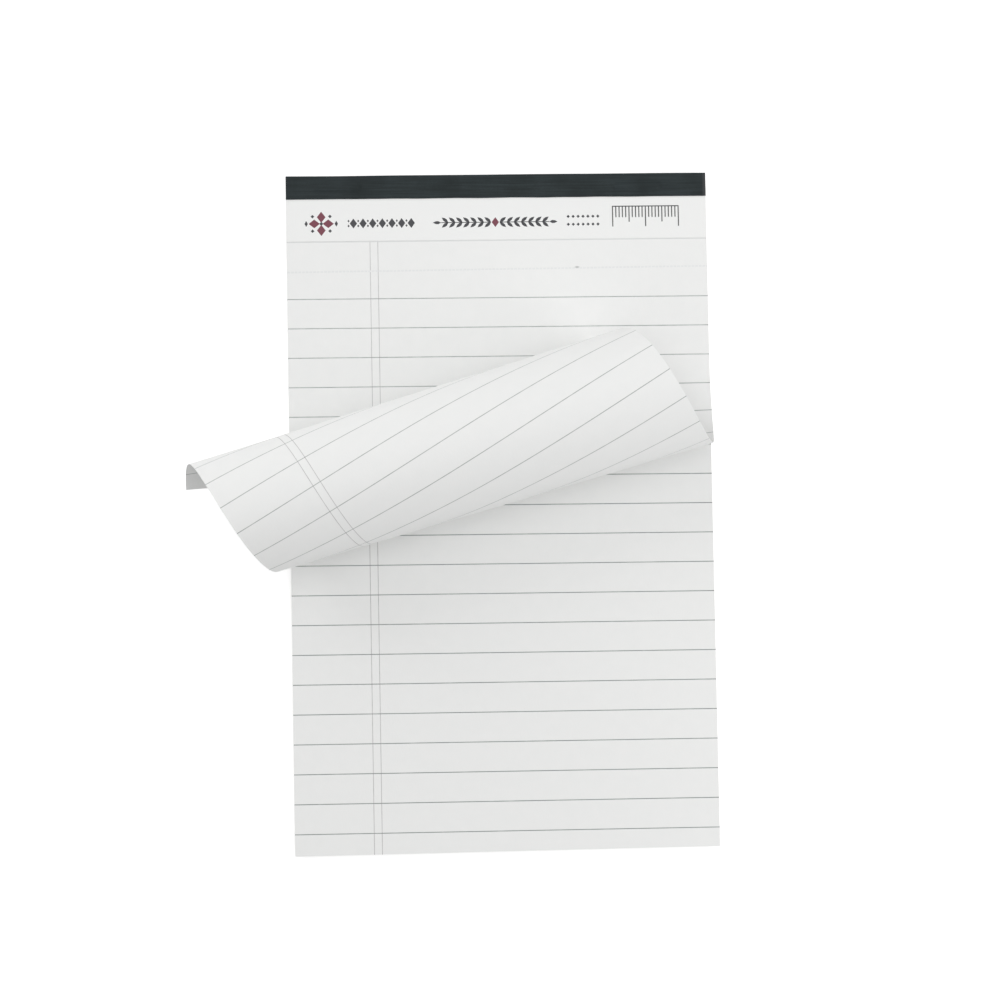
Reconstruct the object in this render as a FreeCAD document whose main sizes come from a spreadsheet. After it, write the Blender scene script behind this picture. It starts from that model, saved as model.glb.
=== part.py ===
import FreeCAD, Part
import Sketcher
import math
import os

# Legal pad with its top sheet rolled up diagonally over itself.
# Millimetres. X runs across the page, Y up the page towards the bound head, Z up.
# The origin is the centre of the backing board's underside.

# Each driving dimension is written once here and kept in the sheet named Dims.
SIZES = {
    # Sheets, backing board and the strip over the head
    "pad_width": 127.0,
    "pad_length": 203.2,
    "leaf_count": 50,
    "leaf_thickness": 0.1,
    "board_thickness": 0.8,
    "strip_length": 19.5,
    "strip_thickness": 0.12,
    # Tape folded over the head
    "tape_thickness": 0.2,
    "tape_front_flap": 6.8,
    "tape_back_flap": 11.0,
    # Two staples of flat wire, clinched flush into the board
    "wire_width": 0.6,
    "wire_thickness": 0.4,
    "wire_bend": 0.35,
    "crown_length": 12.7,
    "clinch_length": 4.0,
    "staple_inset": 3.6,
    "left_staple_margin": 15.5,
    "right_staple_margin": 21.0,
    "wire_clearance": 0.05,
    # Roll of the top sheet: its axis turns from X, and its line of lifting lies above
    # the page's centre; from that line the sheet follows tangent arcs, then tucks under
    "roll_axis_turn": 15.8,
    "lift_line_offset": 28.0,
    "lift_radius": 44.0,
    "lift_sweep": 23.0,
    "rise_radius": 14.8,
    "rise_sweep": 92.0,
    "crest_radius": 19.9,
    "crest_sweep": 128.0,
    "fall_radius": 16.9,
    "fall_sweep": 45.0,
    "roll_clearance": 0.45,
    "corner_blunting": 0.5,
}

# Levels in the stack, as expressions of the sheet's cells
BLOCK_HEIGHT = "(Dims.leaf_count - 1) * Dims.leaf_thickness"
BLOCK_TOP = "(Dims.board_thickness + " + BLOCK_HEIGHT + ")"
LEAF_TOP = "(" + BLOCK_TOP + " + Dims.leaf_thickness)"
STRIP_TOP = "(" + LEAF_TOP + " + Dims.strip_thickness)"
HEAD = "Dims.pad_length / 2"
SIDE = "Dims.pad_width / 2"
STAPLE_LINE = "(" + HEAD + " - Dims.staple_inset)"
STAPLE_PLACES = {
    "staple_left": "(Dims.left_staple_margin - " + SIDE + ")",
    "staple_right": "(" + SIDE + " - Dims.right_staple_margin)",
}

# Turn of the roll between two points of an edge's curve
EDGE_STEP = math.radians(45)

# Places closer than this are the same place
TOUCHING = 1e-6

doc = FreeCAD.newDocument("LegalPad")


def make_sheet():
    """Write the driving dimensions into a spreadsheet, one alias per row."""
    sheet = doc.addObject("Spreadsheet::Sheet", "Dims")
    for row, (alias, value) in enumerate(SIZES.items(), start=1):
        sheet.set("A%d" % row, alias)
        sheet.set("B%d" % row, str(value))
        sheet.setAlias("B%d" % row, alias)
    doc.recompute()
    return sheet


dims = make_sheet()


def new_body(label):
    body = doc.addObject("PartDesign::Body", label)
    body.Label = label
    return body


def new_sketch(body, name, role, lift="0"):
    """Start a sketch on one of the body's own planes, raised by an expression."""
    sketch = body.newObject("Sketcher::SketchObject", name)
    plane = next(item for item in body.Origin.OriginFeatures if item.Role == role)
    sketch.AttachmentSupport = [(plane, "")]
    sketch.MapMode = "FlatFace"
    sketch.setExpression("AttachmentOffset.Base.z", lift)
    doc.recompute()
    return sketch


def add_outline(sketch, corners):
    """Draw a closed outline; each corner is a pair of expressions, held by two dimensions."""
    points = [
        FreeCAD.Vector(sketch.evalExpression(across), sketch.evalExpression(along), 0)
        for across, along in corners
    ]
    first = sketch.GeometryCount
    for start, end in zip(points, points[1:] + points[:1]):
        sketch.addGeometry(Part.LineSegment(start, end), False)
    for number, (across, along) in enumerate(corners):
        line = first + number
        following = first + (number + 1) % len(corners)
        sketch.addConstraint(Sketcher.Constraint("Coincident", line, 2, following, 1))
        for kind, size, value in (
            ("DistanceX", across, points[number].x),
            ("DistanceY", along, points[number].y),
        ):
            index = sketch.addConstraint(Sketcher.Constraint(kind, -1, 1, line, 1, value))
            sketch.setExpression("Constraints[%d]" % index, size)


def add_rectangle(sketch, centre_x, centre_y, width, length):
    """Draw a rectangle from expressions of its centre and its sides."""
    left = "%s - (%s) / 2" % (centre_x, width)
    right = "%s + (%s) / 2" % (centre_x, width)
    low = "%s - (%s) / 2" % (centre_y, length)
    high = "%s + (%s) / 2" % (centre_y, length)
    add_outline(sketch, [(left, low), (right, low), (right, high), (left, high)])


def add_feature(body, kind, name, sketch, length, reverse=False, centred=False):
    """Pad or pocket a sketch; a pocket must take material away."""
    before = body.Shape.Volume if body.Tip else 0.0
    feature = body.newObject(kind, name)
    feature.Profile = sketch
    feature.setExpression("Length", length)
    feature.Reversed = reverse
    if centred:
        feature.SideType = "Symmetric"
    doc.recompute()
    cuts = kind == "PartDesign::Pocket"
    if cuts != (body.Shape.Volume < before):
        raise RuntimeError(name + " points the wrong way")
    return feature


def round_edges(body, name, radius, test):
    """Fillet the straight edges that pass a test of their direction and middle."""
    base = body.Tip
    names = []
    for number, edge in enumerate(base.Shape.Edges, start=1):
        if edge.Curve.TypeId != "Part::GeomLine":
            continue
        middle = edge.valueAt((edge.FirstParameter + edge.LastParameter) / 2)
        if test(edge.tangentAt(edge.FirstParameter), middle):
            names.append("Edge%d" % number)
    fillet = body.newObject("PartDesign::Fillet", name)
    fillet.Base = (base, names)
    fillet.setExpression("Radius", radius)
    doc.recompute()


def slab(label, floor, height, low_edge, high_edge):
    """A full-width layer of the stack, between two expressions along the page."""
    body = new_body(label)
    outline = new_sketch(body, label + "_outline", "XY_Plane")
    add_outline(outline, [
        ("-" + SIDE, low_edge), (SIDE, low_edge), (SIDE, high_edge), ("-" + SIDE, high_edge),
    ])
    add_feature(body, "PartDesign::Pad", label + "_thickness", outline, height)
    body.setExpression("Placement.Base.z", floor)
    return body


def pierce(body, height):
    """Holes that both staples' legs leave in a layer."""
    holes = new_sketch(body, body.Label + "_leg_marks", "XY_Plane")
    across = "Dims.wire_thickness + 2 * Dims.wire_clearance"
    along = "Dims.wire_width + 2 * Dims.wire_clearance"
    for place in STAPLE_PLACES.values():
        for sign in ("-", "+"):
            leg = "%s %s (Dims.crown_length - Dims.wire_thickness) / 2" % (place, sign)
            add_rectangle(holes, leg, STAPLE_LINE, across, along)
    add_feature(body, "PartDesign::Pocket", body.Label + "_leg_holes", holes, height, reverse=True)


def backing_board():
    """Chipboard behind the sheets, pressed in under the tape and the staples' ends."""
    body = slab("backing_board", "0", "Dims.board_thickness", "-" + HEAD, HEAD)
    pierce(body, "Dims.board_thickness")
    pressed = new_sketch(body, "tape_seat_mark", "XY_Plane")
    add_rectangle(pressed, "0", HEAD + " - Dims.tape_back_flap / 2", "Dims.pad_width", "Dims.tape_back_flap")
    add_feature(body, "PartDesign::Pocket", "tape_seat", pressed, "Dims.tape_thickness", reverse=True)
    dents = new_sketch(body, "clinch_marks", "XY_Plane", "Dims.tape_thickness")
    for place in STAPLE_PLACES.values():
        for sign in ("-", "+"):
            middle = "%s %s (Dims.crown_length - Dims.clinch_length) / 2" % (place, sign)
            length = "Dims.clinch_length + 2 * Dims.wire_clearance"
            add_rectangle(dents, middle, STAPLE_LINE, length,
                          "Dims.wire_width + 2 * Dims.wire_clearance")
    add_feature(body, "PartDesign::Pocket", "clinch_dents", dents,
                "Dims.wire_thickness + Dims.wire_clearance", reverse=True)
    return body


def sheet_block():
    """All the sheets below the rolled one."""
    body = slab("sheet_block", "Dims.board_thickness", BLOCK_HEIGHT, "-" + HEAD, HEAD)
    pierce(body, BLOCK_HEIGHT)
    return body


def header_strip():
    """Printed strip over the head of the sheets, caught under the tape."""
    body = slab("header_strip", LEAF_TOP, "Dims.strip_thickness",
                HEAD + " - Dims.strip_length", HEAD)
    pierce(body, "Dims.strip_thickness")
    return body


def binding_tape():
    """Tape folded over the head, with a raised place over each staple's crown."""
    body = new_body("binding_tape")
    section = new_sketch(body, "tape_section", "YZ_Plane")
    spine = HEAD + " + Dims.tape_thickness"
    top = STRIP_TOP + " + Dims.tape_thickness"
    back = "Dims.tape_thickness"
    front_end = HEAD + " - Dims.tape_front_flap"
    back_end = HEAD + " - Dims.tape_back_flap"
    add_outline(section, [
        (back_end, "0"), (spine, "0"), (spine, top), (front_end, top),
        (front_end, STRIP_TOP), (HEAD, STRIP_TOP), (HEAD, back), (back_end, back),
    ])
    add_feature(body, "PartDesign::Pad", "tape_run", section, "Dims.pad_width", centred=True)

    spine_y = dims.pad_length / 2 + dims.tape_thickness
    round_edges(body, "tape_folds", "Dims.tape_thickness",
                lambda way, middle: abs(way.x) > 0.9 and middle.y > spine_y - TOUCHING)

    bulges = new_sketch(body, "bulge_marks", "XY_Plane", top)
    hollows = new_sketch(body, "hollow_marks", "XY_Plane", STRIP_TOP)
    cover = "2 * (Dims.tape_thickness + Dims.wire_clearance)"
    for place in STAPLE_PLACES.values():
        add_rectangle(bulges, place, STAPLE_LINE,
                      "Dims.crown_length + " + cover, "Dims.wire_width + " + cover)
        add_rectangle(hollows, place, STAPLE_LINE,
                      "Dims.crown_length + 2 * Dims.wire_clearance",
                      "Dims.wire_width + 2 * Dims.wire_clearance")
    add_feature(body, "PartDesign::Pad", "crown_bulges", bulges,
                "Dims.wire_thickness + Dims.wire_clearance")
    add_feature(body, "PartDesign::Pocket", "crown_hollows", hollows,
                "Dims.wire_thickness + Dims.wire_clearance", reverse=True)
    return body


def staple(label, place):
    """Flat wire bent to a crown and two legs, its ends clinched towards each other."""
    body = new_body(label)
    shape = new_sketch(body, label + "_wire", "XZ_Plane")
    outer = "Dims.crown_length / 2"
    inner = "(Dims.crown_length / 2 - Dims.wire_thickness)"
    tip = "(Dims.crown_length / 2 - Dims.clinch_length)"
    low = "Dims.tape_thickness"
    high = "(Dims.tape_thickness + Dims.wire_thickness)"
    under_crown = STRIP_TOP
    over_crown = "(" + STRIP_TOP + " + Dims.wire_thickness)"
    add_outline(shape, [
        ("-" + tip, low), ("-" + outer, low), ("-" + outer, over_crown), (outer, over_crown),
        (outer, low), (tip, low), (tip, high), (inner, high),
        (inner, under_crown), ("-" + inner, under_crown), ("-" + inner, high), ("-" + tip, high),
    ])
    add_feature(body, "PartDesign::Pad", label + "_flat", shape, "Dims.wire_width", centred=True)

    reach = dims.crown_length / 2
    round_edges(body, label + "_bends", "Dims.wire_bend",
                lambda way, middle: abs(way.y) > 0.9 and abs(middle.x) > reach - TOUCHING)
    body.setExpression("Placement.Base.x", place)
    body.setExpression("Placement.Base.y", STAPLE_LINE)
    return body


class Roll:
    """The top sheet's path from its line of lifting: tangent arcs, each with a sweep.

    A point of the flat sheet has a place along the roll's axis and a distance down
    from the line of lifting; rolling leaves the first and bends the second."""

    def __init__(self):
        turn = math.radians(dims.roll_axis_turn)
        self.axis = FreeCAD.Vector(math.cos(turn), math.sin(turn), 0)
        self.down = FreeCAD.Vector(math.sin(turn), -math.cos(turn), 0)
        self.turn = turn
        self.start = -dims.lift_line_offset
        self.arcs = []
        distance, across, height, heading = 0.0, 0.0, 0.0, 0.0
        for radius, sweep in (
            (dims.lift_radius, dims.lift_sweep),
            (dims.rise_radius, dims.rise_sweep),
            (dims.crest_radius, dims.crest_sweep),
            (dims.fall_radius, dims.fall_sweep),
        ):
            self.arcs.append((distance, across, height, heading, radius))
            swept = heading + math.radians(sweep)
            across += radius * (math.sin(swept) - math.sin(heading))
            height += radius * (math.cos(heading) - math.cos(swept))
            distance += radius * math.radians(sweep)
            heading = swept
        # The last arc is as large as lets the sheet pass just clear of the page
        tuck_radius = (height - dims.roll_clearance) / (1 - math.cos(heading))
        self.arcs.append((distance, across, height, heading, tuck_radius))

    def along_axis(self, distance, edge):
        """Place along the axis where a sheet's edge lies, and its rate of change."""
        far = self.start + distance
        if edge == "foot":
            slope = 1 / math.tan(self.turn)
            return far * slope - dims.pad_length / 2 / math.sin(self.turn), slope
        side = dims.pad_width / 2 * (1 if edge == "right" else -1)
        slope = -math.tan(self.turn)
        return side / math.cos(self.turn) + far * slope, slope

    def arc_at(self, distance):
        """Arc that a distance from the line of lifting lies on; the first and last run on."""
        return [arc for arc in self.arcs if arc[0] <= max(distance, 0)][-1]

    def point(self, distance, edge, depth):
        """Point on a sheet's edge, at a depth above the sheet's back, and its tangent."""
        begun, across, height, heading, radius = self.arc_at(distance)
        swept = heading + (distance - begun) / radius
        across += radius * (math.sin(swept) - math.sin(heading)) - depth * math.sin(swept)
        height += radius * (math.cos(heading) - math.cos(swept)) + depth * math.cos(swept)
        place, slope = self.along_axis(distance, edge)
        spot = self.axis * place + self.down * (self.start + across)
        forward = self.down * math.cos(swept) + FreeCAD.Vector(0, 0, math.sin(swept))
        tangent = self.axis * slope + forward * (1 - depth / radius)
        return spot + FreeCAD.Vector(0, 0, height), tangent

    def edge_curve(self, begin, end, edge, depth):
        """Curve of a sheet's edge over one stretch of one arc."""
        steps = max(2, math.ceil((end - begin) / self.arc_at(begin)[4] / EDGE_STEP))
        distances = [begin + (end - begin) * step / steps for step in range(steps + 1)]
        # The last point belongs to this arc, not to the one that begins there
        distances[-1] -= (end - begin) * 1e-9
        spots = [self.point(distance, edge, depth) for distance in distances]
        curve = Part.BSplineCurve()
        curve.interpolate(
            Points=[spot for spot, tangent in spots], Parameters=distances,
            InitialTangent=spots[0][1], FinalTangent=spots[-1][1], Scale=False)
        return curve


def ruled_face(first, second):
    """Face of straight lines between two curves that share their knots."""
    surface = Part.BSplineSurface()
    surface.buildFromPolesMultsKnots(
        [first.getPoles(), second.getPoles()], [2, 2], first.getMultiplicities(),
        [0.0, 1.0], first.getKnots(), False, False, 1, first.Degree)
    return surface.toShape()


def flat_face(corners):
    return Part.Face(Part.makePolygon(corners + corners[:1]))


def rolled_faces(roll, left_corner, last):
    """Both sides and the edges of the sheet, from the line of lifting to its last corner."""
    depths = (0.0, dims.leaf_thickness)
    stops = sorted({arc[0] for arc in roll.arcs if arc[0] < last} | {left_corner, last})
    faces = []
    for begin, end in zip(stops, stops[1:]):
        left_edge = "left" if end <= left_corner + TOUCHING else "foot"
        rim = {
            (edge, depth): roll.edge_curve(begin, end, edge, depth)
            for edge in (left_edge, "right") for depth in depths
        }
        for depth in depths:
            faces.append(ruled_face(rim[left_edge, depth], rim["right", depth]))
        for edge in (left_edge, "right"):
            faces.append(ruled_face(rim[edge, depths[0]], rim[edge, depths[1]]))
    corners = [("foot", 0), ("right", 0), ("right", 1), ("foot", 1)]
    faces.append(flat_face([roll.point(last, edge, depths[top])[0] for edge, top in corners]))
    return faces


def flat_faces(roll):
    """Both sides and the edges of the sheet, from the head to the line of lifting."""
    half, head_y = dims.pad_width / 2, dims.pad_length / 2
    layers = [
        [FreeCAD.Vector(-half, head_y, depth), FreeCAD.Vector(half, head_y, depth),
         roll.point(0.0, "right", depth)[0], roll.point(0.0, "left", depth)[0]]
        for depth in (0.0, dims.leaf_thickness)
    ]
    back, front = layers
    edges = [[back[first], back[second], front[second], front[first]]
             for first, second in ((0, 1), (1, 2), (3, 0))]
    return [flat_face(corners) for corners in layers + edges]


def leg_holes(value):
    """Boxes where the staples' legs go through the sheet."""
    across = dims.wire_thickness + 2 * dims.wire_clearance
    along = dims.wire_width + 2 * dims.wire_clearance
    leg_offset = (dims.crown_length - dims.wire_thickness) / 2
    for place in STAPLE_PLACES.values():
        for leg in (value(place) - leg_offset, value(place) + leg_offset):
            corner = FreeCAD.Vector(leg - across / 2, value(STAPLE_LINE) - along / 2, 0)
            yield Part.makeBox(across, along, dims.leaf_thickness, corner)


def curled_sheet():
    """The whole top sheet, one solid: flat to the line of lifting, then rolled."""
    sheet = doc.addObject("Part::Feature", "curled_sheet")
    sheet.Label = "curled_sheet"
    roll = Roll()
    corner = math.sin(roll.turn) * dims.pad_width / 2
    reach = math.cos(roll.turn) * dims.pad_length / 2
    left_corner = reach - corner - roll.start
    last = reach + corner - roll.start - dims.corner_blunting
    shell = Part.makeShell(rolled_faces(roll, left_corner, last) + flat_faces(roll))
    shell.sewShape()
    leaf = Part.makeSolid(shell)
    if leaf.Volume < 0:
        leaf.reverse()
    for hole in leg_holes(sheet.evalExpression):
        leaf = leaf.cut(hole)
    sheet.Shape = leaf.Solids[0]
    sheet.setExpression("Placement.Base.z", BLOCK_TOP)
    return sheet


def check_document():
    """Stop at any failed object."""
    doc.recompute()
    for item in doc.Objects:
        if "Invalid" in item.State or "Error" in item.State:
            raise RuntimeError("%s failed: %s" % (item.Label, item.State))


def write_parts(parts):
    """Check each sub-part's solid and write it under its own name."""
    os.makedirs("parts", exist_ok=True)
    for part in parts:
        shape = part.Shape
        if shape.isNull() or not shape.isValid() or not shape.Solids:
            raise RuntimeError(part.Label + " has no valid solid")
        print("%-14s volume %10.2f  box %s" % (part.Label, shape.Volume, shape.BoundBox))
        shape.exportStep("parts/%s.step" % part.Label)


parts = [backing_board(), sheet_block(), curled_sheet(), header_strip(), binding_tape()]
parts += [staple(label, place) for label, place in STAPLE_PLACES.items()]
check_document()
write_parts(parts)
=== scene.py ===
import bpy
import bmesh
import math
import random
from mathutils import Matrix, Vector, noise


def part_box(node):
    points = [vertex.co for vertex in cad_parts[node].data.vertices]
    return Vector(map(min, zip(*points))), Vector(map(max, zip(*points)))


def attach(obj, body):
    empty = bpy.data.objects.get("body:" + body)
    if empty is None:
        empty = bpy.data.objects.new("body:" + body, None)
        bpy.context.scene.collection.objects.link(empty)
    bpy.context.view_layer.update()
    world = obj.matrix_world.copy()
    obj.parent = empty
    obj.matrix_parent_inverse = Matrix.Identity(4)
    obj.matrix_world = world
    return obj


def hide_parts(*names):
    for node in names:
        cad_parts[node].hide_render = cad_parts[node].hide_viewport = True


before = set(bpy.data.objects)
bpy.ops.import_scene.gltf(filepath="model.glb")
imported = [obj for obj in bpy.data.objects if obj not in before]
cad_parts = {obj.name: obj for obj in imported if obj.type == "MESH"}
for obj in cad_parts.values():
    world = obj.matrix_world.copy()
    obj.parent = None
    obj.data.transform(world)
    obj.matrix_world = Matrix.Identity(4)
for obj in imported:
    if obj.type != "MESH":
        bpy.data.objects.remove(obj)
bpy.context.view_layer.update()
rootBody = "root"
mm = 0.001  # sizes below are in millimetres, the scene is in metres

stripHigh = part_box("header_strip")[1]
blockLow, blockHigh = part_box("sheet_block")
padWidth = (blockHigh.x - blockLow.x) / mm
padLength = (blockHigh.y - blockLow.y) / mm
blockTop = blockHigh.z / mm
stripTop = stripHigh.z / mm
headEdge = blockHigh.y / mm
leftEdge = blockLow.x / mm


def srgb(text):
    # Hex colour as a person picks it, turned to the linear numbers that Blender mixes
    parts = [int(text[i:i + 2], 16) / 255 for i in (1, 3, 5)]
    return [c / 12.92 if c <= 0.04045 else ((c + 0.055) / 1.055) ** 2.4 for c in parts] + [1.0]


def addNode(material, kind, settings=None, links=None):
    # Settings go to the node's own property if it has one of that name, otherwise to the socket
    node = material.node_tree.nodes.new("ShaderNode" + kind)
    for name, value in (settings or {}).items():
        if isinstance(name, str) and hasattr(node, name):
            setattr(node, name, value)
        else:
            node.inputs[name].default_value = value
    for name, socket in (links or {}).items():
        material.node_tree.links.new(socket, node.inputs[name])
    return node


def startMaterial(name):
    material = bpy.data.materials.new(name)
    material.use_nodes = True
    material.node_tree.nodes.clear()
    return material


def finishMaterial(material, settings, links):
    surface = addNode(material, "BsdfPrincipled", settings, links)
    addNode(material, "OutputMaterial", links={"Surface": surface.outputs[0]})
    return material


def maths(material, operation, first, second=None, third=None, clamp=False):
    # One Math node; a number goes to the socket and a socket is linked
    values = {i: v for i, v in enumerate((first, second, third)) if v is not None}
    settings = {i: v for i, v in values.items() if isinstance(v, (int, float))}
    links = {i: v for i, v in values.items() if i not in settings}
    return addNode(material, "Math", {"operation": operation, "use_clamp": clamp, **settings}, links).outputs[0]


def lineMask(material, distance, halfWidth, blur):
    # 1 on a printed line and 0 beside it, from the distance to its middle
    return addNode(material, "MapRange", {
        "interpolation_type": "SMOOTHSTEP", 1: halfWidth - blur, 2: halfWidth + blur, 3: 1.0, 4: 0.0,
    }, {0: distance}).outputs[0]


def bumpFrom(material, height, millimetres, strength=1.0):
    return addNode(material, "Bump", {"Strength": strength, "Distance": millimetres * mm},
                   {"Height": height}).outputs[0]


paperLook = {
    "light": "#F2F2F1",
    "shade": "#ECEDEC",
    "ruleInk": "#79827F",
    "marginInk": "#8F8A8D",
    "rulePitch": 8.857,
    "ruleHalfWidth": 0.115,
    "marginHalfWidth": 0.085,
    "inkBlur": 0.05,
    "inkLeast": 0.72,  # where the press left the thinnest ink
    "marginGap": 2.35,
    "perforationFromHead": 28.81,
    "perforationSkew": -0.0050,  # it isn't quite parallel to the rules
    "perforationHalfWidth": 0.26,
    "perforationPitch": 1.1,
    "perforationTone": "#E8E9E9",
    "stripShadowLine": 19.72,  # painted shadow: a thin darker line where the strip's cut edge shades the page
    "stripShadowHalfWidth": 0.16,
    "stripShadowTone": "#DCDDDD",
    "markTone": "#B9BABA",
    "cloudSize": 4.0,  # cloudy formation of the pulp
    "cloudShare": 0.65,
    "fibreWidth": 0.25,  # real fibres are a tenth of this, too fine for the render
    "fibreLength": 1.6,
    "fibreShare": 0.35,
    "fibreHeight": 0.02,
    "roughness": 0.78,
}


def tinted(material, colour, hexTone, mask):
    # The colour so far, turned to a tone where the mask is 1
    return addNode(material, "Mix", {"data_type": "RGBA", 7: srgb(hexTone)}, {0: mask, 6: colour}).outputs[2]


def ruledPaper(name, firstRule, slant, marginFromLeft, ruleStrength, marginStrength, marks=()):
    # Wood-free writing paper, machine finished: matt, faintly cloudy, with fine offset rules
    # that may slant a little on the sheet;
    # each mark is a small smudge as (across, from the head, half width, half length)
    material = startMaterial(name)
    look = paperLook
    place = addNode(material, "Attribute", {"attribute_name": "sheetPlace"}).outputs["Vector"]
    axes = addNode(material, "SeparateXYZ", links={0: place})
    across, down = axes.outputs[0], axes.outputs[1]

    cloud = addNode(material, "TexNoise", {"Scale": 1 / look["cloudSize"], "Detail": 3.0}, {"Vector": place})
    stretched = addNode(material, "VectorMath", {
        "operation": "MULTIPLY", 1: (1 / look["fibreWidth"], 1 / look["fibreLength"], 1.0)}, {0: place})
    fibre = addNode(material, "TexNoise", {"Scale": 1.0, "Detail": 2.0}, {"Vector": stretched.outputs[0]})
    tone = maths(material, "MULTIPLY_ADD", fibre.outputs[0], look["fibreShare"], maths(
        material, "MULTIPLY", cloud.outputs[0], look["cloudShare"]))
    paper = addNode(material, "Mix", {
        "data_type": "RGBA", 6: srgb(look["shade"]), 7: srgb(look["light"])}, {0: tone})

    straight = maths(material, "MULTIPLY_ADD", across, -slant, down)
    pastRule = maths(material, "SUBTRACT", straight, firstRule)
    toRule = maths(material, "PINGPONG", pastRule, look["rulePitch"] / 2)
    belowHead = maths(material, "GREATER_THAN", pastRule, -look["rulePitch"] / 2)
    rule = maths(material, "MULTIPLY", lineMask(
        material, toRule, look["ruleHalfWidth"], look["inkBlur"]), belowHead)
    inkWear = addNode(material, "MapRange", {1: 0.3, 2: 0.7, 3: look["inkLeast"], 4: 1.0}, {0: addNode(
        material, "TexNoise", {"Scale": 0.35, "Detail": 4.0}, {"Vector": place}).outputs[0]}).outputs[0]
    ruleInk = maths(material, "MULTIPLY", maths(material, "MULTIPLY", rule, inkWear), ruleStrength)
    colour = tinted(material, paper.outputs[2], look["ruleInk"], ruleInk)

    middle = marginFromLeft + look["marginGap"] / 2
    fromMiddle = maths(material, "ABSOLUTE", maths(material, "SUBTRACT", across, middle))
    toMargin = maths(material, "ABSOLUTE", maths(material, "SUBTRACT", fromMiddle, look["marginGap"] / 2))
    margin = lineMask(material, toMargin, look["marginHalfWidth"], look["inkBlur"])
    marginInk = maths(material, "MULTIPLY", maths(material, "MULTIPLY", margin, inkWear), marginStrength)
    colour = tinted(material, colour, look["marginInk"], marginInk)

    perforationAt = maths(
        material, "MULTIPLY_ADD", across, look["perforationSkew"], look["perforationFromHead"])
    toPerforation = maths(material, "ABSOLUTE", maths(material, "SUBTRACT", down, perforationAt))
    slit = maths(material, "GREATER_THAN", maths(
        material, "PINGPONG", across, look["perforationPitch"] / 2), look["perforationPitch"] / 8)
    perforation = maths(material, "MULTIPLY", lineMask(
        material, toPerforation, look["perforationHalfWidth"], look["inkBlur"]), slit)
    colour = tinted(material, colour, look["perforationTone"], perforation)
    # A thin darker line just below the header strip's edge: painted shadow cast by the strip
    toStripShadow = maths(material, "ABSOLUTE", maths(material, "SUBTRACT", down, look["stripShadowLine"]))
    stripShadowLine = lineMask(material, toStripShadow, look["stripShadowHalfWidth"], look["inkBlur"])
    colour = tinted(material, colour, look["stripShadowTone"], stripShadowLine)
    for x, d, halfWidth, halfLength in marks:
        offset = addNode(material, "VectorMath", {
            "operation": "SUBTRACT", 1: (x, d, 0)}, {0: place}).outputs[0]
        scaled = addNode(material, "VectorMath", {
            "operation": "MULTIPLY", 1: (1 / halfWidth, 1 / halfLength, 0)}, {0: offset}).outputs[0]
        far = addNode(material, "VectorMath", {"operation": "LENGTH"}, {0: scaled}).outputs["Value"]
        colour = tinted(material, colour, look["markTone"], lineMask(material, far, 0.8, 0.6))

    height = maths(material, "SUBTRACT", fibre.outputs[0], perforation)
    return finishMaterial(material, {"Roughness": look["roughness"], "IOR": 1.5}, {
        "Base Color": colour, "Normal": bumpFrom(material, height, look["fibreHeight"])})


stripLook = {"light": "#F1F1F0", "shade": "#EDEEED", "grain": 0.3, "height": 0.006, "roughness": 0.6}


def objectPlace(material, width=1.0, length=1.0, depth=1.0):
    # The object's own coordinates, counted in pattern sizes given in millimetres
    place = addNode(material, "TexCoord").outputs["Object"]
    return addNode(material, "VectorMath", {
        "operation": "MULTIPLY", 1: (1 / width / mm, 1 / length / mm, 1 / depth / mm)}, {0: place}).outputs[0]


def evenPlace(material, size):
    return objectPlace(material, size, size, size)


def calenderedPaper():
    # Calendered white paper: pressed smoother than the pages, so a shade brighter
    material = startMaterial("calendered white paper")
    look = stripLook
    grain = addNode(material, "TexNoise", {"Scale": 1.0, "Detail": 4.0}, {
        "Vector": evenPlace(material, look["grain"])}).outputs[0]
    colour = addNode(material, "Mix", {
        "data_type": "RGBA", 6: srgb(look["shade"]), 7: srgb(look["light"])}, {0: grain})
    return finishMaterial(material, {"Roughness": look["roughness"], "IOR": 1.5}, {
        "Base Color": colour.outputs[2], "Normal": bumpFrom(material, grain, look["height"])})


boardLook = {
    "base": "#8F8678", "pale": "#A79E8F", "dark": "#6B6358",
    "cloudSize": 7.0, "fibreWidth": 0.3, "fibreLength": 2.2, "fleckSize": 0.7,
    "fleckHalfWidth": 0.13, "fleckBlur": 0.06, "fleckBare": 0.6,  # this share of the cells has no fleck
    "height": 0.05, "roughness": 0.9,
}


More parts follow.
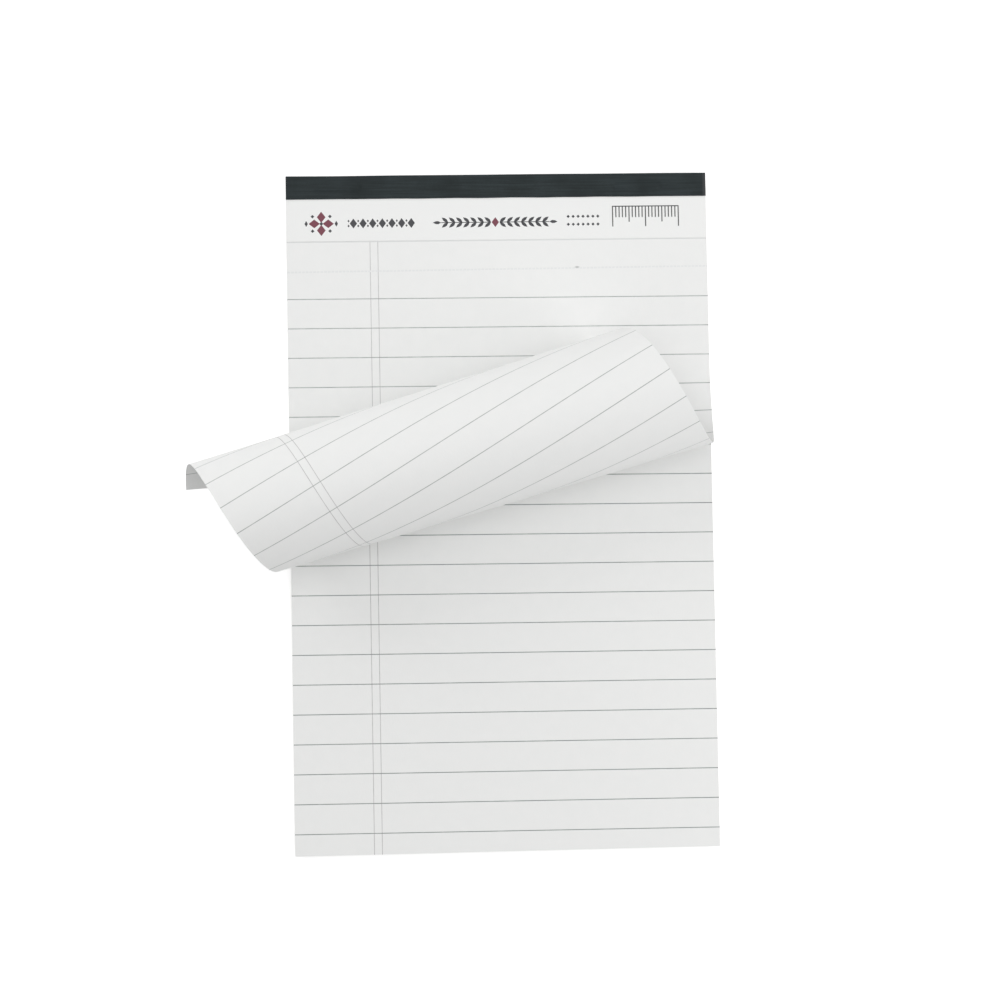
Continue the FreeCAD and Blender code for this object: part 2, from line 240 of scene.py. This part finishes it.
def chipboard():
    # Grey-brown chipboard from mixed waste pulp: cloudy, with pale fibres and dark flecks
    material = startMaterial("grey chipboard")
    look = boardLook
    cloud = addNode(material, "TexNoise", {"Scale": 1.0, "Detail": 5.0}, {
        "Vector": evenPlace(material, look["cloudSize"])}).outputs[0]
    along = objectPlace(material, look["fibreWidth"], look["fibreLength"], look["fibreWidth"])
    fibre = addNode(material, "TexNoise", {"Scale": 1.0, "Detail": 3.0, "Distortion": 1.2}, {
        "Vector": along}).outputs[0]
    fleck = addNode(material, "TexVoronoi", {"feature": "F1", "Scale": 1.0}, {
        "Vector": evenPlace(material, look["fleckSize"])})
    shade = addNode(material, "MapRange", {1: 0.3, 2: 0.7}, {0: cloud}).outputs[0]
    body = addNode(material, "Mix", {
        "data_type": "RGBA", 6: srgb(look["base"]), 7: srgb(look["pale"])}, {0: shade})
    streak = addNode(material, "MapRange", {1: 0.55, 2: 0.75, 4: 0.6}, {0: fibre}).outputs[0]
    streaked = addNode(material, "Mix", {"data_type": "RGBA", 7: srgb(look["pale"])},
                       {0: streak, 6: body.outputs[2]})
    spot = lineMask(material, fleck.outputs["Distance"], look["fleckHalfWidth"], look["fleckBlur"])
    rare = maths(material, "GREATER_THAN", addNode(
        material, "SeparateColor", links={0: fleck.outputs["Color"]}).outputs[0], look["fleckBare"])
    flecked = addNode(material, "Mix", {"data_type": "RGBA", 7: srgb(look["dark"])},
                      {0: maths(material, "MULTIPLY", spot, rare), 6: streaked.outputs[2]})
    height = maths(material, "ADD", fibre, cloud)
    return finishMaterial(material, {"Roughness": look["roughness"], "IOR": 1.48}, {
        "Base Color": flecked.outputs[2], "Normal": bumpFrom(material, height, look["height"])})


tapeLook = {
    # The paler colour towards the right end is a painted highlight for light on the fold
    "base": "#1B2223", "worn": "#2B3335", "paintedHighlight": "#4A4A4C", "highlightFrom": 62.3,
    "grain": 0.16, "cloudSize": 9.0, "streakLength": 14.0, "streakWidth": 0.5,
    "height": 0.02, "roughness": 0.62, "gloss": 0.22,
}


def bindingPaper():
    # Dyed paper tape, glued over the head: near black, matt, with a fine paper grain
    material = startMaterial("black paper tape")
    look = tapeLook
    cloud = addNode(material, "TexNoise", {"Scale": 1.0, "Detail": 4.0}, {
        "Vector": evenPlace(material, look["cloudSize"])}).outputs[0]
    grain = addNode(material, "TexNoise", {"Scale": 1.0, "Detail": 3.0}, {
        "Vector": evenPlace(material, look["grain"])}).outputs[0]
    along = objectPlace(material, look["streakLength"], look["streakWidth"], look["streakWidth"])
    streak = addNode(material, "TexNoise", {"Scale": 1.0, "Detail": 2.0}, {"Vector": along}).outputs[0]
    wear = maths(material, "MULTIPLY", maths(material, "MULTIPLY", cloud, grain), streak)
    tone = addNode(material, "MapRange", {1: 0.06, 2: 0.2, 3: 0.0, 4: 0.9}, {0: wear}).outputs[0]
    dyed = addNode(material, "Mix", {
        "data_type": "RGBA", 6: srgb(look["base"]), 7: srgb(look["worn"])}, {0: tone})
    # Towards its cut end at the right it is painted paler: a painted highlight for light falling on the fold
    # there
    spot = addNode(material, "SeparateXYZ", links={0: addNode(material, "TexCoord").outputs["Object"]})
    paintedHighlight = addNode(material, "MapRange", {
        1: look["highlightFrom"] * mm, 2: padWidth / 2 * mm, 4: 0.9}, {0: spot.outputs[0]}).outputs[0]
    colour = addNode(material, "Mix", {
        "data_type": "RGBA", 7: srgb(look["paintedHighlight"])}, {0: paintedHighlight, 6: dyed.outputs[2]})
    return finishMaterial(material, {
        "Roughness": look["roughness"], "IOR": 1.45, "Specular IOR Level": look["gloss"]}, {
        "Base Color": colour.outputs[2], "Normal": bumpFrom(material, grain, look["height"])})


wireLook = {"base": "#C9CACC", "dull": "#B4B6B9", "drawLength": 3.0, "drawWidth": 0.08, "height": 0.004}


def drawnWire():
    # Bright staple wire: drawing leaves fine lines along it
    material = startMaterial("drawn steel wire")
    look = wireLook
    lines = addNode(material, "TexNoise", {"Scale": 1.0, "Detail": 2.0}, {
        "Vector": objectPlace(material, look["drawLength"], look["drawWidth"], look["drawWidth"])}).outputs[0]
    colour = addNode(material, "Mix", {
        "data_type": "RGBA", 6: srgb(look["dull"]), 7: srgb(look["base"])}, {0: lines})
    rough = addNode(material, "MapRange", {3: 0.28, 4: 0.42}, {0: lines}).outputs[0]
    return finishMaterial(material, {"Metallic": 1.0}, {
        "Base Color": colour.outputs[2], "Roughness": rough,
        "Normal": bumpFrom(material, lines, look["height"])})


inkLook = {"grain": 0.12, "thin": 0.16, "roughness": 0.5}


def offsetInk(name, hexColour, paleHex):
    # Offset ink on paper: a thin film, slightly uneven where the paper's grain took less
    material = startMaterial(name)
    grain = addNode(material, "TexNoise", {"Scale": 1.0, "Detail": 3.0}, {
        "Vector": evenPlace(material, inkLook["grain"])}).outputs[0]
    uneven = maths(material, "MULTIPLY", grain, inkLook["thin"])
    colour = addNode(material, "Mix", {
        "data_type": "RGBA", 6: srgb(hexColour), 7: srgb(paleHex)}, {0: uneven})
    return finishMaterial(material, {"Roughness": inkLook["roughness"], "IOR": 1.5},
                          {"Base Color": colour.outputs[2]})


def makePiece(name, bm, materials, node=None, sharpAngle=30):
    # Mesh to object: smooth faces, sharp where they meet at more than the angle
    bmesh.ops.recalc_face_normals(bm, faces=bm.faces[:])
    limit = math.radians(sharpAngle)
    for edge in bm.edges:
        edge.smooth = len(edge.link_faces) == 2 and edge.calc_face_angle(0.0) < limit
    for face in bm.faces:
        face.smooth = True
    mesh = bpy.data.meshes.new(name)
    bm.to_mesh(mesh)
    bm.free()
    piece = bpy.data.objects.new(name, mesh)
    bpy.context.scene.collection.objects.link(piece)
    for material in materials:
        mesh.materials.append(material)
    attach(piece, rootBody)
    if node:
        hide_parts(node)
    print("made", name, len(mesh.polygons), "faces")
    return piece


def joinSheets(bm, front, back, columns, rows):
    # Closed skin between two grids of vertices of a thin sheet; material 0 front, 1 back
    def at(grid, i, j):
        return grid[i * (rows + 1) + j]

    for grid, index in ((front, 0), (back, 1)):
        for i in range(columns):
            for j in range(rows):
                corners = ((i, j), (i + 1, j), (i + 1, j + 1), (i, j + 1))
                face = bm.faces.new([at(grid, m, n) for m, n in corners])
                face.material_index = index
    border = [(i, 0) for i in range(columns)] + [(columns, j) for j in range(rows)]
    border += [(i, rows) for i in range(columns, 0, -1)] + [(0, j) for j in range(rows, 0, -1)]
    for (i, j), (m, n) in zip(border, border[1:] + border[:1]):
        bm.faces.new((at(front, i, j), at(front, m, n), at(back, m, n), at(back, i, j)))


# The top sheet: rolled about an axis that turns from the page's width, and lifted
# from the stack along a line above the page's centre
leafLook = {
    "thickness": 0.1,
    "axisTurn": 15.48,
    "liftLine": -28.05,
    "arcs": [(43.66, 23.07), (15.79, 47.39), (14.47, 47.37), (20.39, 67.8), (18.98, 59.78),
             (18.0, 45.63), (15.14, 55.0), (13.4, 130.0)],
    "cone": 0.00053,  # the roll widens this much per millimetre to the right
    "step": 1.5,
    "waveSize": 38.0,
    "waveHeight": 0.12,
    "waveFrom": 40.0,  # the waviness is full at this distance from the line of lifting
}
axisTurn = math.radians(leafLook["axisTurn"])
rollAxis = Vector((math.cos(axisTurn), math.sin(axisTurn), 0))
rollDown = Vector((math.sin(axisTurn), -math.cos(axisTurn), 0))


def rollTurns():
    # Each arc's radius, its sweep and the heading it begins with
    before = 0.0
    for radius, sweep in leafLook["arcs"]:
        yield radius, math.radians(sweep), before
        before += math.radians(sweep)


def rollPath(distance):
    # Place across the roll and heading, at a distance along the sheet from the line of lifting
    across = height = heading = 0.0
    for radius, sweep, before in rollTurns():
        turned = min(distance / radius, sweep)
        across += radius * (math.sin(heading + turned) - math.sin(heading))
        height += radius * (math.cos(heading) - math.cos(heading + turned))
        heading += turned
        distance -= turned * radius
        if distance <= 0:
            break
    return across, height, heading


# The roll's lowest side, where it stands upright: it widens from there
uprightRun = sum(radius * (math.sin(min(before + sweep, math.pi / 2)) - math.sin(min(before, math.pi / 2)))
                 for radius, sweep, before in rollTurns())


def leafPlace(across, fromHead, depth):
    # Where a point of the flat sheet lies once it is rolled; depth is counted from its back
    x, y = leftEdge + across, headEdge - fromHead
    flat = Vector((x, y, 0))
    past = flat.dot(rollDown) - leafLook["liftLine"]
    if past <= 0:
        return Vector((x, y, blockTop + depth)) * mm
    run, height, heading = rollPath(past)
    along = flat.dot(rollAxis)
    if heading > math.pi / 2:
        run = uprightRun + (run - uprightRun) * (1 + leafLook["cone"] * along)
    wave = noise.noise(Vector((across, fromHead, 0)) / leafLook["waveSize"]) * leafLook["waveHeight"]
    depth += wave * min(past / leafLook["waveFrom"], 1)
    place = rollAxis * along + rollDown * (leafLook["liftLine"] + run - depth * math.sin(heading))
    place.z = blockTop + height + depth * math.cos(heading)
    return place * mm


def curledLeaf():
    columns = math.ceil(padWidth / leafLook["step"])
    rows = math.ceil(padLength / leafLook["step"])
    bm = bmesh.new()
    layer = bm.verts.layers.float_vector.new("sheetPlace")

    def grid(depth):
        found = []
        for i in range(columns + 1):
            for j in range(rows + 1):
                across, fromHead = padWidth * i / columns, padLength * j / rows
                vertex = bm.verts.new(leafPlace(across, fromHead, depth))
                vertex[layer] = (across, fromHead, 0)
                found.append(vertex)
        return found

    joinSheets(bm, grid(leafLook["thickness"]), grid(0.0), columns, rows)
    return makePiece("curledLeaf", bm, [frontPaper, backPaper], "curled_sheet", 60)


# The sheets under it, each a closed leaf laid with a small shift of its own
stackLook = {
    "leaves": 49,
    "air": 0.012,
    "shift": 0.07,
    "turn": 0.012,
    "seed": 7,
    "edgeSteps": 8,
    "edgeWave": 0.05,
}


def leafStack():
    rng = random.Random(stackLook["seed"])
    pitch = (blockTop - blockLow.z / mm) / stackLook["leaves"]
    bm = bmesh.new()
    layer = bm.verts.layers.float_vector.new("sheetPlace")
    steps = stackLook["edgeSteps"]
    outline = [(i / steps, 0.0) for i in range(steps)] + [(1.0, j / steps) for j in range(steps)]
    outline += [(1 - i / steps, 1.0) for i in range(steps)] + [(0.0, 1 - j / steps) for j in range(steps)]
    for number in range(stackLook["leaves"]):
        top = blockLow.z / mm + pitch * (number + 1)
        shift = Vector((rng.uniform(-1, 1), rng.uniform(-1, 1), 0)) * stackLook["shift"]
        turn = Matrix.Rotation(math.radians(rng.uniform(-1, 1) * stackLook["turn"]), 4, "Z")
        rings = []
        for z in (top, top - pitch + stackLook["air"]):
            ring = []
            for across, down in outline:
                sway = noise.noise(Vector((across * 3, down * 3, number)))
                uneven = 1 + sway * stackLook["edgeWave"] / padWidth
                spot = Vector(((across - 0.5) * padWidth * uneven, (0.5 - down) * padLength * uneven, 0))
                spot = turn @ spot + shift
                spot.z = z
                vertex = bm.verts.new(spot * mm)
                vertex[layer] = (across * padWidth, down * padLength, 0)
                ring.append(vertex)
            rings.append(ring)
        upper, lower = rings
        bm.faces.new(upper)
        bm.faces.new(lower)
        for a, b, c, d in zip(upper, upper[1:] + upper[:1], lower[1:] + lower[:1], lower):
            bm.faces.new((a, b, c, d)).material_index = 1
    return makePiece("leafStack", bm, [blockPaper, cutPaper], "sheet_block")


# The tape: one strip from the front flap, over the head, to the back flap
tapeShape = {
    "thickness": 0.2,
    "frontFlap": 6.8,
    "backFlap": 11.0,
    "foldRadius": 0.3,
    "step": 0.5,
    "staples": (-48.0, 42.5),
    "crownLength": 12.7,
    "crownWidth": 0.6,
    "crownClearance": 0.05,
    "stapleFromHead": 3.6,
    "bulge": 0.47,
    "bulgeSlope": 1.1,
    "edgeWave": 0.1,
    "edgeWaveSize": 9.0,
    "spineWave": 0.22,
    "spineWaveSize": 32.0,
}


def tapePath():
    # Outer line of the tape across the head as (y, z, outward y, outward z), front flap first
    t, r = tapeShape["thickness"], tapeShape["foldRadius"]
    front, spine, top = headEdge - tapeShape["frontFlap"], headEdge + t, stripTop + t
    path = []

    def run(start, end, way):
        steps = max(1, round(math.dist(start, end) / tapeShape["step"]))
        for k in range(steps + 1):
            path.append((start[0] + (end[0] - start[0]) * k / steps,
                         start[1] + (end[1] - start[1]) * k / steps, *way))

    def fold(y, z, fromAngle):
        for k in range(1, 6):
            angle = math.radians(fromAngle - 15 * k)
            outY, outZ = math.cos(angle), math.sin(angle)
            path.append((y + r * outY, z + r * outZ, outY, outZ))

    run((front, top), (spine - r, top), (0.0, 1.0))
    fold(spine - r, top - r, 90)
    run((spine, top - r), (spine, r), (1.0, 0.0))
    fold(spine - r, r, 0)
    run((spine - r, 0.0), (headEdge - tapeShape["backFlap"], 0.0), (0.0, -1.0))
    return path


def overStaple(x, y):
    # 1 over a staple's crown, falling smoothly to 0 beside it
    best = 0.0
    for middle in tapeShape["staples"]:
        fromCrown = abs(y - headEdge + tapeShape["stapleFromHead"])
        beside = max(abs(x - middle) - tapeShape["crownLength"] / 2 - tapeShape["crownClearance"], 0.0)
        along = max(fromCrown - tapeShape["crownWidth"] / 2 - tapeShape["crownClearance"], 0.0)
        far = min(math.hypot(beside, along) / tapeShape["bulgeSlope"], 1.0)
        best = max(best, 1 - far * far * (3 - 2 * far))
    return best


def spineTape():
    path = tapePath()
    columns = round(padWidth / tapeShape["step"])
    rows = len(path) - 1
    bm = bmesh.new()

    def grid(depth):
        found = []
        for i in range(columns + 1):
            x = leftEdge + padWidth * i / columns
            for j, (y, z, outY, outZ) in enumerate(path):
                lift = -depth + (overStaple(x, y) * tapeShape["bulge"] if outZ > 0.99 else 0.0)
                ragged = 0.0
                if j == 0:
                    sway = noise.noise(Vector((x / tapeShape["edgeWaveSize"], j, 0)))
                    ragged = sway * tapeShape["edgeWave"]
                if outY > 0:
                    sway = 0.5 + noise.noise(Vector((x / tapeShape["spineWaveSize"], 7, 0)))
                    ragged = outY * sway * tapeShape["spineWave"]
                found.append(bm.verts.new(Vector((x, y + outY * lift + ragged, z + outZ * lift)) * mm))
        return found

    joinSheets(bm, grid(0.0), grid(tapeShape["thickness"]), columns, rows)
    return makePiece("spineTape", bm, [tapePaper, tapePaper], "binding_tape", 50)


# Plain ornament on the strip: a lozenge rosette, a lozenge chain, a leaf spray, dots and even ticks
printShape = {
    "film": 0.012,
    "sink": 0.004,
    "roseMiddle": (-53.0, 14.2),
    "rosePetal": 2.1,
    "chainFrom": -44.8,
    "chainPitch": 2.9,
    "chainCount": 7,
    "chainLine": 14.2,
    "chainLozenge": (1.1, 1.5),
    "chainDot": (0.32, 0.42),
    "chainDotOffset": 0.75,
    "sprayMiddle": (-0.6, 14.2),
    "sprayGap": 1.3,
    "sprayPitch": 2.15,
    "sprayCount": 7,
    "leafLength": 2.5,
    "leafWidth": 0.95,
    "leafLean": 38.0,
    "dotsFrom": 21.5,
    "dotPitch": 1.5,
    "dotCount": 7,
    "dotRows": (12.7, 15.1),
    "dotHalf": 0.5,
    "ticksFrom": 35.0,
    "ticksLine": 9.6,
    "ticksStart": 9.9,
    "tickWidth": 0.32,
    "tickLengths": (6.0, 4.6, 3.2),  # every tenth, every fifth, the rest
    "tickPitch": 1.0,
    "tickCount": 20,
}


def headerPrint():
    shape = printShape
    bm = bmesh.new()
    low, high = stripTop - shape["sink"], stripTop + shape["film"]

    def plate(corners, ink):
        # Corners are (x, distance from the head); 0 is charcoal, 1 maroon
        rings = [[bm.verts.new(Vector((x, headEdge - d, z)) * mm) for x, d in corners] for z in (low, high)]
        faces = [bm.faces.new(ring) for ring in rings]
        under, over = rings
        for a, b, c, d in zip(under, under[1:] + under[:1], over[1:] + over[:1], over):
            faces.append(bm.faces.new((a, b, c, d)))
        for face in faces:
            face.material_index = ink

    def bar(x, d, width, length, ink=0):
        plate([(x, d), (x + width, d), (x + width, d + length), (x, d + length)], ink)

    def lozenge(x, d, halfWidth, halfLength, ink=0):
        plate([(x - halfWidth, d), (x, d - halfLength), (x + halfWidth, d), (x, d + halfLength)], ink)

    def leaf(x, d, angle, ink=0):
        # Pointed leaf that grows from (x, d) at an angle from the strip's length
        length, half = shape["leafLength"], shape["leafWidth"] / 2
        along = Vector((math.cos(angle), math.sin(angle)))
        beside = Vector((-along.y, along.x))
        outline = [(0, 0), (0.35, half), (0.65, half * 0.9), (1, 0), (0.65, -half * 0.9), (0.35, -half)]
        spots = [Vector((x, d)) + along * length * share + beside * offset for share, offset in outline]
        plate([(spot.x, spot.y) for spot in spots], ink)

    x, d = shape["roseMiddle"]
    petal = shape["rosePetal"]
    for side in (-1, 1):
        lozenge(x + side * petal, d, petal * 0.8, petal * 0.62, 1)
        lozenge(x, d + side * petal * 0.95, petal * 0.62, petal * 0.8, 1)
        for up in (-1, 1):
            lozenge(x + side * petal * 1.25, d + up * petal * 1.05, 0.55, 0.55)
        lozenge(x + side * petal * 2.15, d, 0.5, 0.9)
    lozenge(x, d, 0.6, 0.6)

    start, pitch, line = shape["chainFrom"], shape["chainPitch"], shape["chainLine"]
    for k in range(shape["chainCount"]):
        lozenge(start + pitch * (k + 0.5), line, *shape["chainLozenge"])
        for up in (-1, 1):
            lozenge(start + pitch * k, line + up * shape["chainDotOffset"], *shape["chainDot"])

    x, d = shape["sprayMiddle"]
    pitch, gap, lean = shape["sprayPitch"], shape["sprayGap"], math.radians(shape["leafLean"])
    reach = pitch * shape["sprayCount"]
    for side, outward in ((-1, math.pi), (1, 0.0)):
        bar(x + side * (gap + reach / 2) - reach / 2, d - 0.11, reach, 0.22)
        for k in range(shape["sprayCount"]):
            for up in (-1, 1):
                leaf(x + side * (gap + pitch * k), d, outward + up * lean)
        leaf(x + side * (gap + reach), d, outward)
    lozenge(x, d, 1.1, 1.5, 1)

    for k in range(shape["dotCount"]):
        for d in shape["dotRows"]:
            lozenge(shape["dotsFrom"] + shape["dotPitch"] * k, d, shape["dotHalf"], shape["dotHalf"])

    start, pitch, width = shape["ticksFrom"], shape["tickPitch"], shape["tickWidth"]
    tenth, fifth, other = shape["tickLengths"]
    bar(start - 0.15, shape["ticksLine"], pitch * shape["tickCount"] + 0.3, 0.3)
    for k in range(shape["tickCount"] + 1):
        length = tenth if k % 10 == 0 else fifth if k % 5 == 0 else other
        bar(start + pitch * k - width / 2, shape["ticksStart"], width, length)
    return makePiece("headerPrint", bm, [charcoalInk, maroonInk])


# The numbers are the first rule's distance from the head and its slant, the margin's distance
# from the left, and how strongly rules and margin are inked
frontPaper = ruledPaper("writing paper, face", 36.95, 0.0027, 25.02, 0.92, 0.72,
                        [(87.4, 28.1, 0.75, 0.3)])
backPaper = ruledPaper("writing paper, back", 44.48, 0.0069, 25.02, 0.76, 0.72)
blockPaper = ruledPaper("writing paper, page below", 37.27, 0.006, 23.55, 1.18, 0.82)
cutPaper = ruledPaper("writing paper, cut edges", 37.27, 0.006, 23.55, 0.4, 0.3)
tapePaper = bindingPaper()
charcoalInk = offsetInk("charcoal offset ink", "#2B2C30", "#5A5B5E")
maroonInk = offsetInk("maroon offset ink", "#6B2C3C", "#8C5763")
print("materials ready")

curledLeaf()
leafStack()
spineTape()
headerPrint()

nodeFinish = {
    "backing_board": chipboard(),
    "header_strip": calenderedPaper(),
    "staple_left": drawnWire(),
    "binding_tape": tapePaper,
    "curled_sheet": backPaper,
    "sheet_block": blockPaper,
}
nodeFinish["staple_right"] = nodeFinish["staple_left"]
for name, material in nodeFinish.items():
    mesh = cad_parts[name].data
    if not mesh.materials:
        mesh.materials.append(material)
    for index in range(len(mesh.materials)):
        mesh.materials[index] = material
print("nodes finished")

floorLook = {"size": 3.0, "drop": 0.1, "colour": "#F4F4F4", "roughness": 0.9, "glow": 0.45}


def whiteFloor():
    # Pale studio floor; seen directly it is lifted to white, and the object's shadow stays
    bm = bmesh.new()
    bmesh.ops.create_grid(bm, x_segments=1, y_segments=1, size=floorLook["size"] / 2)
    mesh = bpy.data.meshes.new("studioFloor")
    bm.to_mesh(mesh)
    bm.free()
    floor = bpy.data.objects.new("studioFloor", mesh)
    floor.location.z = -floorLook["drop"] * mm
    bpy.context.scene.collection.objects.link(floor)
    material = startMaterial("matt white backdrop paper")
    rays = addNode(material, "LightPath")
    seen = maths(material, "MAXIMUM", rays.outputs["Is Camera Ray"], maths(
        material, "MAXIMUM", rays.outputs["Is Glossy Ray"], rays.outputs["Is Transmission Ray"]))
    finishMaterial(material, {
        "Base Color": srgb(floorLook["colour"]), "Roughness": floorLook["roughness"],
        "Emission Color": (1, 1, 1, 1)},
        {"Emission Strength": maths(material, "MULTIPLY", seen, floorLook["glow"])})
    mesh.materials.append(material)


# Soft light from above and all round, a little stronger from the right
lightLook = {
    "sky": 0.456,
    "lamps": {
        "topLight": {"place": (0.05, 0.10, 0.95), "size": 0.8, "power": 2.6},
        "rightLight": {"place": (0.38, -0.05, 0.22), "size": 0.3, "power": 0.55},
        "leftHeadLight": {"place": (-0.50, 0.55, 0.40), "size": 0.6, "power": 2.13},
    },
}


def studioLight():
    world = bpy.data.worlds.new("studio")
    bpy.context.scene.world = world
    world.use_nodes = True
    world.node_tree.nodes.clear()
    rays = addNode(world, "LightPath")
    seen = maths(world, "MAXIMUM", rays.outputs["Is Camera Ray"], maths(
        world, "MAXIMUM", rays.outputs["Is Glossy Ray"], rays.outputs["Is Transmission Ray"]))
    strength = addNode(world, "MapRange", {3: lightLook["sky"], 4: 1.0}, {0: seen})
    sky = addNode(world, "Background", {"Color": (1, 1, 1, 1)}, {"Strength": strength.outputs[0]})
    addNode(world, "OutputWorld", links={"Surface": sky.outputs[0]})
    for name, look in lightLook["lamps"].items():
        lamp = bpy.data.lights.new(name, "AREA")
        lamp.shape = "SQUARE"
        lamp.size = look["size"]
        lamp.energy = look["power"]
        light = bpy.data.objects.new(name, lamp)
        light.location = look["place"]
        light.rotation_euler = Vector(look["place"]).to_track_quat("Z", "Y").to_euler()
        bpy.context.scene.collection.objects.link(light)


# The photograph is taken from almost straight above the page's centre
cameraLook = {
    "place": (-21.05, -13.26, 504.63),
    "turn": (1.953, -2.299, -1.051),
    "sensor": 36.0,
    "lens": 59.85,
    "nearest": 10.0,
}


def photoCamera():
    data = bpy.data.cameras.new("photoCamera")
    data.sensor_width = cameraLook["sensor"]
    data.lens = cameraLook["lens"]
    data.clip_start = cameraLook["nearest"] * mm
    camera = bpy.data.objects.new("photoCamera", data)
    camera.location = Vector(cameraLook["place"]) * mm
    camera.rotation_euler = [math.radians(angle) for angle in cameraLook["turn"]]
    bpy.context.scene.collection.objects.link(camera)
    bpy.context.scene.camera = camera


whiteFloor()
studioLight()
photoCamera()
bpy.context.scene.view_settings.view_transform = "Standard"
print("stage ready")
